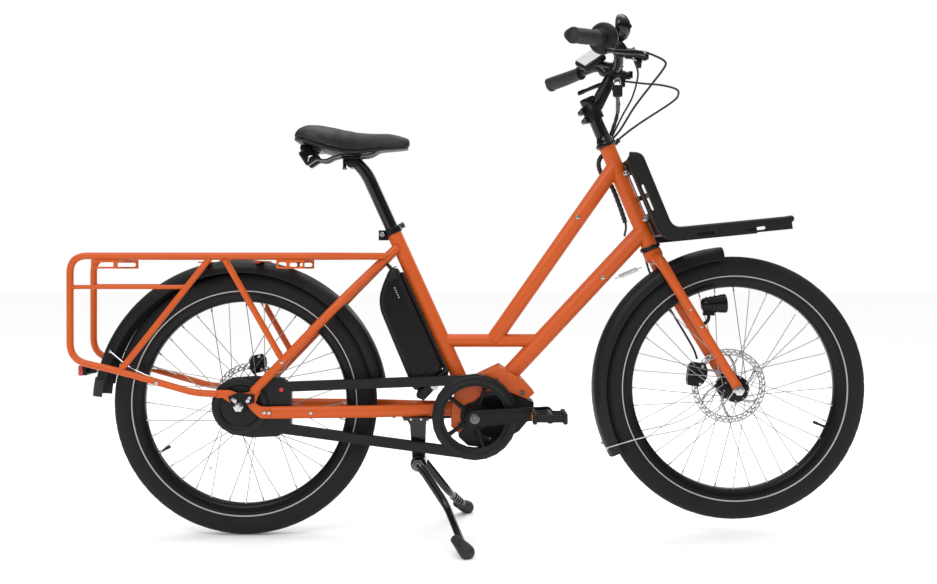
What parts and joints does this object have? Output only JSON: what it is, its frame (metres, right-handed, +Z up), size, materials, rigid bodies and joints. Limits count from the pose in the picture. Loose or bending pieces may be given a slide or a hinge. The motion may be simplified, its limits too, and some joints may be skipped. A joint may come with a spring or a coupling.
{
  "type": "cargo bicycle",
  "caption": "Step-through electric cargo bicycle with a long rear carrier, front tray, chain case and two-legged stand.",
  "frame": {"origin": "on the floor plane, under the middle of the bicycle's length and width", "axes": "+X forwards, the way the bicycle is ridden; +Y to the rider's left; +Z up"},
  "size_m": [1.8755, 0.631, 1.206],
  "materials": {
    "orange_paint": "satin burnt-orange powder coat over smooth welded tubes",
    "stand_steel": "glossy black paint over bent steel tube",
    "black_alloy": "satin black anodised alloy with soft highlights",
    "wheel_alloy": "black anodised rims and hub shells, with bright steel spokes",
    "black_plastic": "fine-grained matt black moulded plastic",
    "gloss_black": "polished black moulding, with a pale grey screen on the display",
    "bright_steel": "bright steel, brushed or zinc plated",
    "grip_rubber": "soft black rubber with fine ribs",
    "hose_rubber": "smooth black hose sheath",
    "tyre_rubber": "dark rubber with a fine tread and a thin pale reflective line on each sidewall",
    "saddle_cover": "black padded cover with a fine grain and stitched seams",
    "red_lens": "clear red lens over a ribbed reflector"
  },
  "bodies": {
    "frame": {"head_tube": "orange_paint", "upper_tube": "orange_paint", "down_tube": "orange_paint", "cross_tube": "orange_paint", "seat_tube": "orange_paint", "motor_bracket": "orange_paint", "right_seat_stay": "orange_paint", "left_seat_stay": "orange_paint", "right_chain_stay": "orange_paint", "left_chain_stay": "orange_paint", "right_rack_loop": "orange_paint", "left_rack_loop": "orange_paint", "right_rack_braces": "orange_paint", "left_rack_braces": "orange_paint", "rear_rack_bridge": "orange_paint", "front_rack_bridge": "orange_paint", "rear_fender": "black_plastic", "tail_light": "red_lens", "battery_dock": "black_plastic", "motor": "black_alloy", "chain_case": "black_plastic", "chain": "bright_steel", "stand_bracket": "stand_steel", "front_rack": "black_plastic", "rear_axle": "bright_steel", "rear_caliper": "black_alloy", "steering_spring": "bright_steel"},
    "battery": {"battery": "black_plastic"},
    "seat": {"seat_post": "black_alloy", "saddle_rails": "bright_steel", "saddle": "saddle_cover"},
    "quick_release": {"seat_quick_release": "bright_steel"},
    "steering": {"fork": "orange_paint", "riser": "black_alloy", "stem": "black_alloy", "handlebar": "black_alloy", "right_grip": "grip_rubber", "left_grip": "grip_rubber", "display": "gloss_black", "bell": "gloss_black", "headlight": "black_plastic", "front_fender": "black_plastic", "front_caliper": "black_alloy", "brake_hoses": "hose_rubber"},
    "right_lever": {"right_brake_lever": "black_alloy"},
    "left_lever": {"left_brake_lever": "black_alloy"},
    "shifter": {"twist_shifter": "grip_rubber"},
    "front_wheel": {"front_tyre": "tyre_rubber", "front_rim": "wheel_alloy", "front_rotor": "bright_steel"},
    "rear_wheel": {"rear_tyre": "tyre_rubber", "rear_rim": "wheel_alloy", "rear_rotor": "bright_steel"},
    "sprocket": {"rear_sprocket": "bright_steel"},
    "crankset": {"chainring": "black_alloy", "right_crank": "black_alloy", "left_crank": "black_alloy"},
    "right_pedal_body": {"right_pedal": "black_plastic"},
    "left_pedal_body": {"left_pedal": "black_plastic"},
    "stand": {"kickstand": "stand_steel"}
  },
  "joints": [
    {"name": "steering", "type": "hinge", "parent": "frame", "child": "steering", "pos_m": [0.425, 0, 0.687], "axis": [-0.3907, 0, 0.9205], "range_deg": [-50, 50], "stiffness_Nm_per_rad": 4, "deforming": ["steering_spring", "brake_hoses"]},
    {"name": "front_wheel_spin", "type": "hinge", "parent": "steering", "child": "front_wheel", "pos_m": [0.624, 0, 0.349], "axis": [0, 1, 0], "continuous": true},
    {"name": "rear_wheel_spin", "type": "hinge", "parent": "frame", "child": "rear_wheel", "pos_m": [-0.538, 0, 0.3135], "axis": [0, 1, 0], "continuous": true},
    {"name": "crank_spin", "type": "hinge", "parent": "frame", "child": "crankset", "pos_m": [0.0075, 0, 0.287], "axis": [0, 1, 0], "continuous": true},
    {"name": "sprocket_spin", "type": "hinge", "parent": "frame", "child": "sprocket", "pos_m": [-0.538, 0, 0.3135], "axis": [0, 1, 0], "continuous": true},
    {"name": "right_pedal_spin", "type": "hinge", "parent": "crankset", "child": "right_pedal_body", "pos_m": [0.17396, -0.151, 0.30039], "axis": [0, 1, 0], "continuous": true},
    {"name": "left_pedal_spin", "type": "hinge", "parent": "crankset", "child": "left_pedal_body", "pos_m": [-0.15896, 0.151, 0.27361], "axis": [0, 1, 0], "continuous": true},
    {"name": "kickstand_fold", "type": "hinge", "parent": "frame", "child": "stand", "pos_m": [-0.125, 0, 0.173], "axis": [0, 1, 0], "range_deg": [0, 105]},
    {"name": "right_brake_squeeze", "type": "hinge", "parent": "steering", "child": "right_lever", "pos_m": [0.398, -0.122, 1.118], "axis": [0, 0, 1], "range_deg": [0, 20], "stiffness_Nm_per_rad": 0.6, "springref_deg": -17.19},
    {"name": "left_brake_squeeze", "type": "hinge", "parent": "steering", "child": "left_lever", "pos_m": [0.398, 0.122, 1.118], "axis": [0, 0, -1], "range_deg": [0, 20], "stiffness_Nm_per_rad": 0.6, "springref_deg": -17.19},
    {"name": "gear_twist", "type": "hinge", "parent": "steering", "child": "shifter", "pos_m": [0.288, -0.2, 1.14], "axis": [-0.5784, -0.8067, -0.1218], "range_deg": [-60, 90]},
    {"name": "seat_height", "type": "slide", "parent": "frame", "child": "seat", "axis": [-0.4131, 0, 0.9107], "range_m": [-0.12, 0.08]},
    {"name": "seat_clamp_lever", "type": "hinge", "parent": "frame", "child": "quick_release", "pos_m": [-0.21383, 0.028, 0.71658], "axis": [-0.4131, 0, 0.9107], "range_deg": [0, 150]},
    {"name": "battery_tilt", "type": "hinge", "parent": "frame", "child": "battery", "pos_m": [-0.12904, 0.041, 0.34326], "axis": [-0.9107, 0, -0.4131], "range_deg": [0, 35]}
  ],
  "couplings": [
    {"joint": "sprocket_spin", "follows": "crank_spin", "ratio": 2.175}
  ]
}
